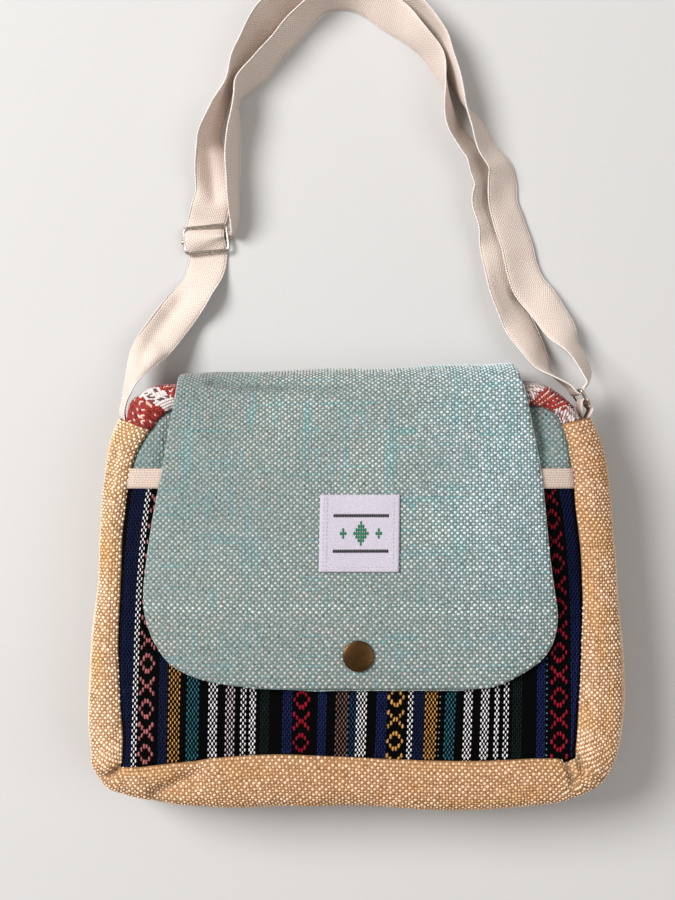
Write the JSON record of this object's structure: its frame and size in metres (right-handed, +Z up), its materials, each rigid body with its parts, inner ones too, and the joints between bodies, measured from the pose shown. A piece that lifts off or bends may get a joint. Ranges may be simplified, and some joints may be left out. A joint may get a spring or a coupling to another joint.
{
  "type": "hemp messenger bag",
  "caption": "Flat-lying cloth shoulder bag with fold-over flap, snap, striped front pocket, side gusset and cotton webbing strap.",
  "frame": {"origin": "middle of the back panel's outer face, on the surface that the bag lies on", "axes": "+Z up out of the bag's front, +Y towards the mouth and the strap, +X to the right seen from the front"},
  "size_m": [0.309, 0.4889, 0.0719],
  "materials": {
    "hemp_teal": "grey-teal plain-weave hemp with cream slubs",
    "hemp_tan": "golden tan plain-weave hemp",
    "brocade": "coarse ribbed red and white brocade",
    "stripe_cotton": "warp-striped cotton with woven figures",
    "webbing_cream": "cream cotton webbing",
    "label_white": "white satin weave, bare",
    "antique_brass": "dark antique brass with a worn rim",
    "nickel": "nickel-plated wire, slightly dull"
  },
  "bodies": {
    "root": {"back_panel": "hemp_teal", "front_panel": "hemp_teal", "flap": "hemp_teal", "gusset": "hemp_tan", "top_band": "brocade", "pocket_panel": "stripe_cotton", "pocket_tape": "webbing_cream", "label": "label_white", "snap_cap": "antique_brass", "snap_stud": "antique_brass", "strap": "webbing_cream", "strap_tab": "webbing_cream", "strap_ring": "nickel", "slider_frame": "nickel", "slider_bar": "nickel"}
  },
  "joints": []
}
